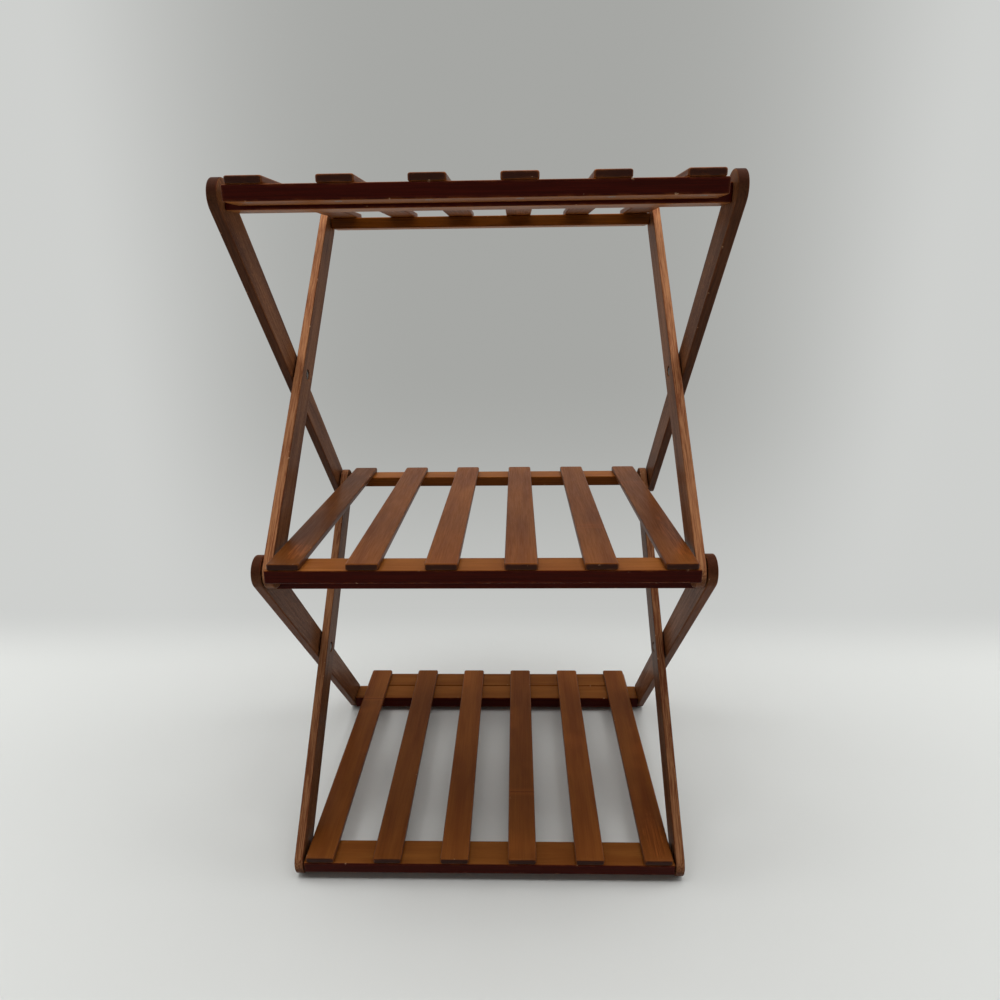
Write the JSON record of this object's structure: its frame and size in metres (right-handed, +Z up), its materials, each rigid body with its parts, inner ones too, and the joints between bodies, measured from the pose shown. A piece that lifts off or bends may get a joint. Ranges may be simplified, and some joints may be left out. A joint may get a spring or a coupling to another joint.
{
  "type": "tiered plant stand",
  "caption": "Folding wooden plant stand with scissor side frames and slatted shelves one above another on dark pivot bolts.",
  "frame": {"origin": "on the floor under the middle of the stand", "axes": "+X to the right across the stand, +Y from the front to the rear, +Z up"},
  "size_m": [0.437, 0.3773, 0.688],
  "materials": {
    "slat_wood": "semi-gloss red-brown stain on the shelf slats",
    "rail_wood": "semi-gloss red-brown stain on rails and crossbars",
    "leg_wood": "semi-gloss red-brown stain, paler and streaky on the legs",
    "dark_steel": "dark oxide",
    "washer_plastic": "dark brown"
  },
  "bodies": {
    "lower_inner_frame": {"lower_inner_leg_left": "leg_wood", "lower_inner_leg_right": "leg_wood", "lower_crossing_bolts": "dark_steel", "lower_crossing_nuts": "dark_steel", "lower_crossing_washers": "washer_plastic", "rear_pivot_pins": "dark_steel", "rear_pivot_washers": "washer_plastic", "bottom_shelf_hinge_pins": "dark_steel"},
    "lower_outer_frame": {"lower_outer_leg_left": "leg_wood", "lower_outer_leg_right": "leg_wood", "middle_crossbar": "rail_wood", "middle_crossbar_screws": "dark_steel", "bottom_crossbar": "rail_wood", "bottom_crossbar_screws": "dark_steel", "front_pivot_bolts": "dark_steel", "front_pivot_nuts": "dark_steel", "front_pivot_washers": "washer_plastic"},
    "upper_inner_frame": {"upper_inner_leg_left": "leg_wood", "upper_inner_leg_right": "leg_wood", "upper_crossing_bolts": "dark_steel", "upper_crossing_nuts": "dark_steel", "upper_crossing_washers": "washer_plastic", "top_shelf_hinge_pins": "dark_steel"},
    "upper_outer_frame": {"upper_outer_leg_left": "leg_wood", "upper_outer_leg_right": "leg_wood", "top_crossbar": "rail_wood", "top_crossbar_screws": "dark_steel"},
    "top_shelf": {"top_shelf_front_rail": "rail_wood", "top_shelf_rear_rail": "rail_wood", "top_shelf_slat_1": "slat_wood", "top_shelf_slat_2": "slat_wood", "top_shelf_slat_3": "slat_wood", "top_shelf_slat_4": "slat_wood", "top_shelf_slat_5": "slat_wood", "top_shelf_slat_6": "slat_wood", "top_shelf_screws": "dark_steel"},
    "middle_shelf": {"middle_shelf_front_rail": "rail_wood", "middle_shelf_rear_rail": "rail_wood", "middle_shelf_slat_1": "slat_wood", "middle_shelf_slat_2": "slat_wood", "middle_shelf_slat_3": "slat_wood", "middle_shelf_slat_4": "slat_wood", "middle_shelf_slat_5": "slat_wood", "middle_shelf_slat_6": "slat_wood", "middle_shelf_screws": "dark_steel"},
    "bottom_shelf": {"bottom_shelf_front_rail": "rail_wood", "bottom_shelf_rear_rail": "rail_wood", "bottom_shelf_slat_1": "slat_wood", "bottom_shelf_slat_2": "slat_wood", "bottom_shelf_slat_3": "slat_wood", "bottom_shelf_slat_4": "slat_wood", "bottom_shelf_slat_5": "slat_wood", "bottom_shelf_slat_6": "slat_wood", "bottom_shelf_screws": "dark_steel"}
  },
  "joints": [
    {"name": "lower_scissor_fold", "type": "hinge", "parent": "lower_inner_frame", "child": "lower_outer_frame", "pos_m": [0, -0.0096, 0.18], "axis": [-1, 0, 0], "range_deg": [0, 68]},
    {"name": "front_pivot_turn", "type": "hinge", "parent": "lower_outer_frame", "child": "upper_inner_frame", "pos_m": [0, -0.1525, 0.344], "axis": [1, 0, 0], "range_deg": [0, 68]},
    {"name": "rear_pivot_turn", "type": "hinge", "parent": "lower_inner_frame", "child": "upper_outer_frame", "pos_m": [0, 0.14795, 0.344], "axis": [-1, 0, 0], "range_deg": [0, 68]},
    {"name": "bottom_shelf_lift", "type": "hinge", "parent": "lower_inner_frame", "child": "bottom_shelf", "pos_m": [0, -0.16715, 0.016], "axis": [1, 0, 0], "range_deg": [0, 46.24]},
    {"name": "middle_shelf_lift", "type": "hinge", "parent": "lower_inner_frame", "child": "middle_shelf", "pos_m": [0, 0.14795, 0.344], "axis": [-1, 0, 0], "range_deg": [0, 122.4]},
    {"name": "top_shelf_lift", "type": "hinge", "parent": "upper_inner_frame", "child": "top_shelf", "pos_m": [0, 0.1626, 0.672], "axis": [-1, 0, 0], "range_deg": [0, 132.6]}
  ],
  "couplings": [
    {"joint": "front_pivot_turn", "follows": "lower_scissor_fold", "ratio": 1},
    {"joint": "rear_pivot_turn", "follows": "lower_scissor_fold", "ratio": 1},
    {"joint": "bottom_shelf_lift", "follows": "lower_scissor_fold", "ratio": 0.68},
    {"joint": "middle_shelf_lift", "follows": "lower_scissor_fold", "ratio": 1.8},
    {"joint": "top_shelf_lift", "follows": "lower_scissor_fold", "ratio": 1.95}
  ]
}
